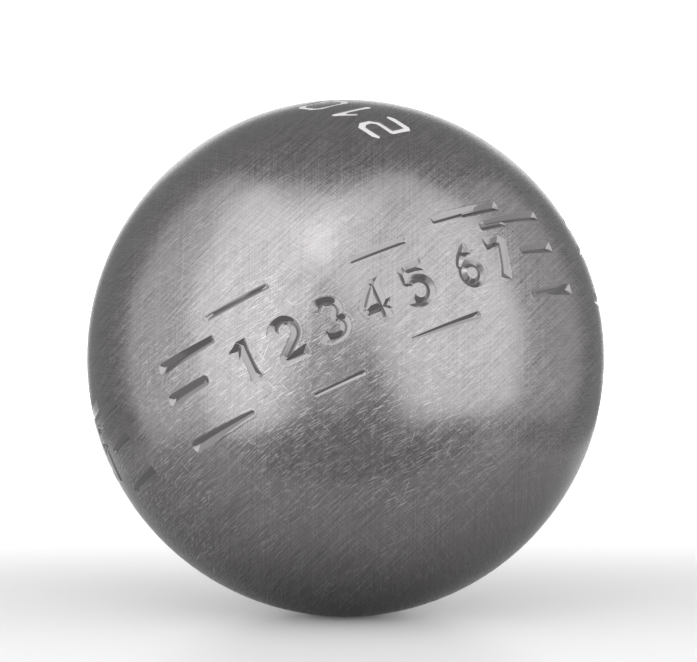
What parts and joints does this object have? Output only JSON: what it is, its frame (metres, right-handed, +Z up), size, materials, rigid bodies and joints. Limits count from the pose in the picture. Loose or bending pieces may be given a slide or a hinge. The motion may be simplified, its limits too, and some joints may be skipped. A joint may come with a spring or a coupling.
{
  "type": "petanque boule",
  "caption": "Hollow steel boule of two pressed half shells joined by one ground weld, with a tilted belt of struck V grooves and plain digits.",
  "frame": {"origin": "centre of the ball", "axes": "+Z up as the ball lies on the ground; +Y from the front half shell to the rear one, square to the weld; +X to the right seen from the front"},
  "size_m": [0.074, 0.074, 0.074],
  "materials": {
    "shell_steel": "satin brushed steel, finely scratched",
    "weld_steel": "weld metal, ground and brushed flush with the shells"
  },
  "bodies": {
    "root": {"front_half_shell": "shell_steel", "rear_half_shell": "shell_steel", "weld_bead": "weld_steel"}
  },
  "joints": []
}
